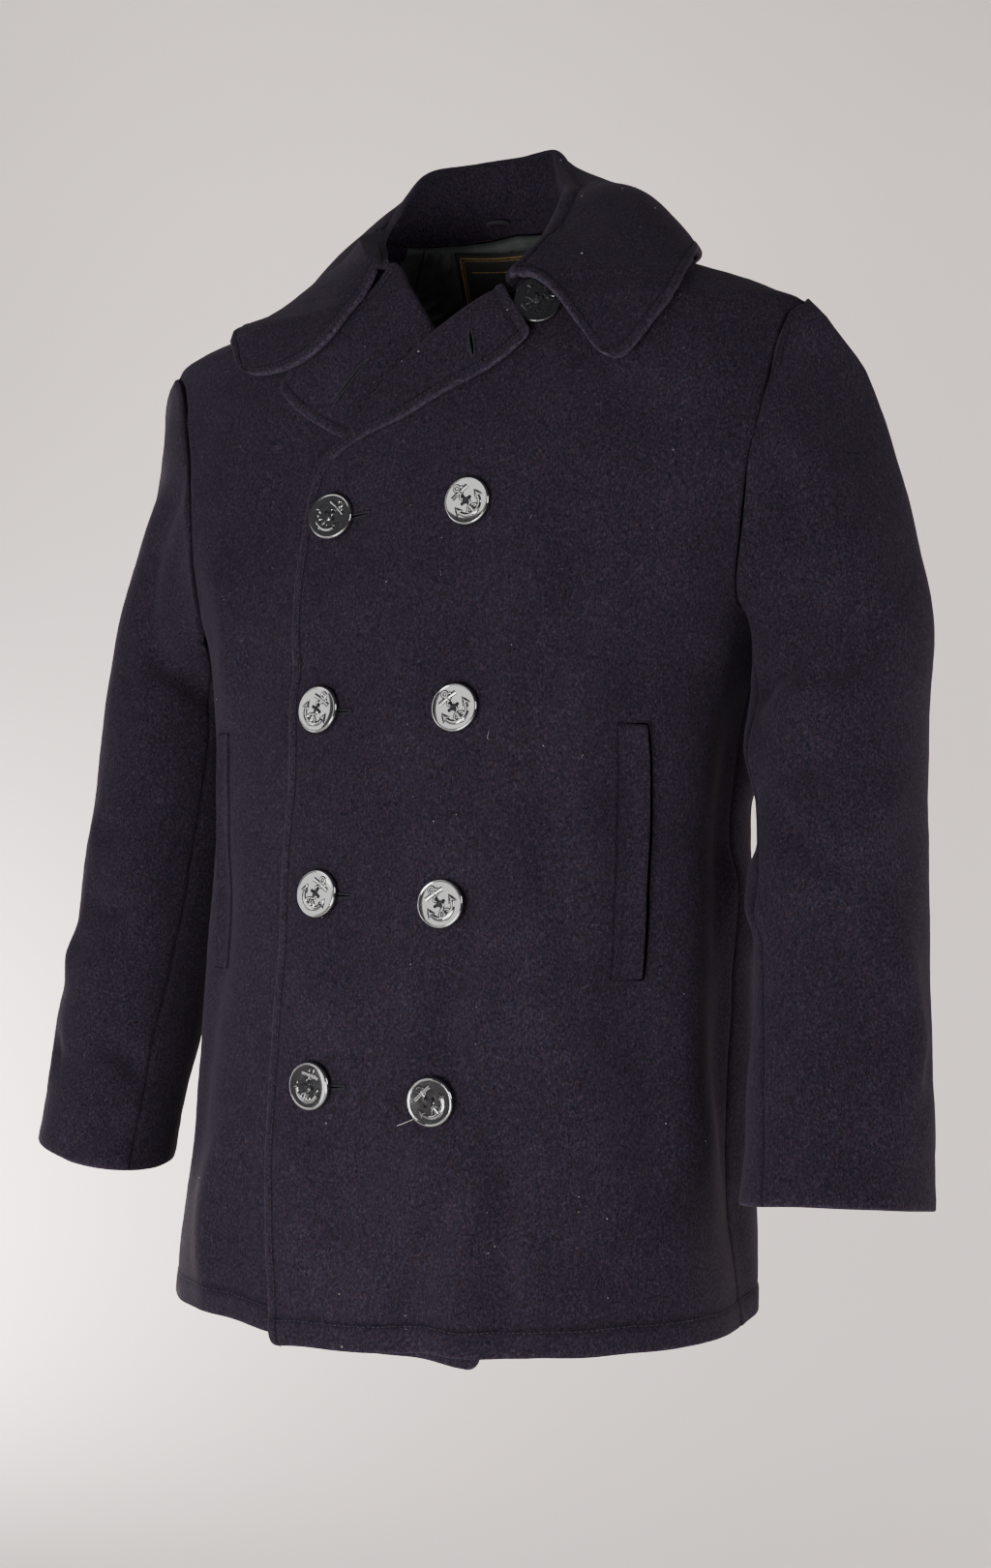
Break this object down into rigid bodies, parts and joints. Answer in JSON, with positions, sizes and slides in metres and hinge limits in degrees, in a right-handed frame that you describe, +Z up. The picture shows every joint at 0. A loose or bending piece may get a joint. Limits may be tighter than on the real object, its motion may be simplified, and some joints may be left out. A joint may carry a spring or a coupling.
{
  "type": "pea coat",
  "caption": "Hollow double-breasted navy wool coat as worn, with a turned-down collar, part-turned lapels, upright welt pockets, set-in sleeves and anchor buttons.",
  "frame": {"origin": "inside the neck opening, at its centre, at the height of the neck seam at the back: where the coat hangs on its wearer's shoulders", "axes": "-Y the coat's front, +X the wearer's left, +Z up"},
  "size_m": [0.6598, 0.2666, 0.8014],
  "materials": {
    "navy_wool": "matte",
    "black_button": "gloss",
    "lining_satin": "satin",
    "label_cloth": "satin",
    "loop_cord": "matte"
  },
  "bodies": {
    "root": {"back": "navy_wool", "back_lining": "lining_satin", "button_1l": "black_button", "button_1r": "black_button", "button_2l": "black_button", "button_2r": "black_button", "button_3l": "black_button", "button_3r": "black_button", "button_4l": "black_button", "button_4r": "black_button", "button_top": "black_button", "collar": "navy_wool", "front_left": "navy_wool", "front_right": "navy_wool", "hanger_loop": "loop_cord", "label": "label_cloth", "lapel_left": "navy_wool", "lapel_right": "navy_wool", "pocket_welt_left": "navy_wool", "pocket_welt_right": "navy_wool", "sleeve_under_left": "navy_wool", "sleeve_under_right": "navy_wool", "sleeve_upper_left": "navy_wool", "sleeve_upper_right": "navy_wool"}
  },
  "joints": []
}
